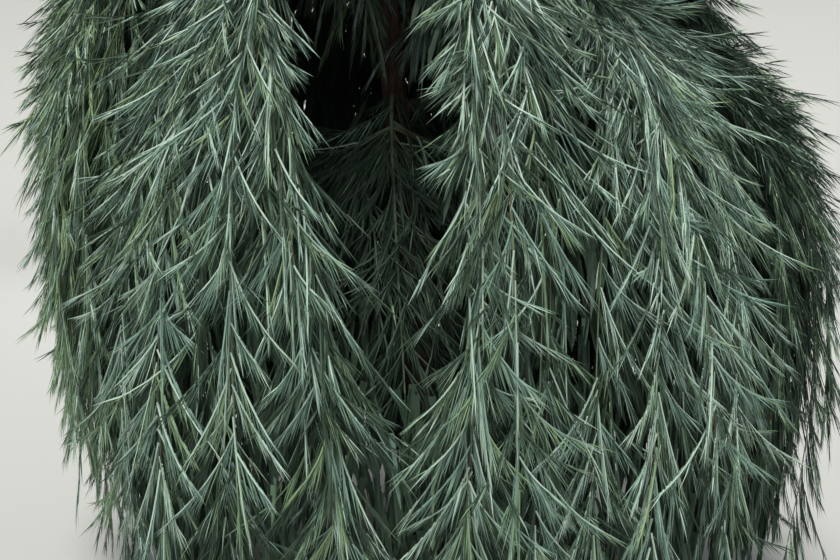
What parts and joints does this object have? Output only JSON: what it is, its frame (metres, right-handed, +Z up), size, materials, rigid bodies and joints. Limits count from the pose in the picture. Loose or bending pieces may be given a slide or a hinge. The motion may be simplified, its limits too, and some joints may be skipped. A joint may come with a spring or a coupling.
{
  "type": "weeping lawson cypress tree",
  "caption": "weeping conifer with a slim leaning leader and long hanging curtains of thread-like blue-green foliage in tiers round its trunk",
  "frame": {"origin": "middle of the flat cut under the trunk, at ground level", "axes": "+Z up along the trunk; the front of the tree, with the dark gap between two curtains, faces -Y; +X to the viewer's right"},
  "size_m": [1.9481, 1.9356, 3.4318],
  "materials": {
    "bark": "rough reddish-brown bark with long shallow furrows",
    "foliage": "matt glaucous blue-green thread-like sprays",
    "shaded_foliage": "matt dark green sprays in the shade of the crown"
  },
  "bodies": {
    "root": {"trunk": "bark", "bough_skirt_far_left": "bark", "skirt_far_left": "foliage", "bough_skirt_left": "bark", "skirt_left": "foliage", "bough_skirt_right_inner": "bark", "skirt_right_inner": "foliage", "bough_skirt_right_outer": "bark", "skirt_right_outer": "foliage", "bough_skirt_right_side": "bark", "skirt_right_side": "foliage", "bough_skirt_right_back": "bark", "skirt_right_back": "foliage", "bough_skirt_rear_right": "bark", "skirt_rear_right": "foliage", "bough_skirt_rear": "bark", "skirt_rear": "foliage", "bough_skirt_rear_left": "bark", "skirt_rear_left": "foliage", "bough_skirt_left_side": "bark", "skirt_left_side": "foliage", "bough_middle_front_left": "bark", "middle_front_left": "foliage", "bough_middle_front_right": "bark", "middle_front_right": "foliage", "bough_middle_right": "bark", "middle_right": "foliage", "bough_middle_rear": "bark", "middle_rear": "foliage", "bough_middle_left": "bark", "middle_left": "foliage", "bough_upper_front": "bark", "upper_front": "foliage", "bough_upper_rear_right": "bark", "upper_rear_right": "foliage", "bough_upper_rear_left": "bark", "upper_rear_left": "foliage", "bough_top_left": "bark", "top_left": "foliage", "bough_top_right": "bark", "top_right": "foliage", "bough_inner_front": "bark", "inner_front": "shaded_foliage", "bough_inner_rear": "bark", "inner_rear": "shaded_foliage", "leader_curtain": "foliage"}
  },
  "joints": []
}
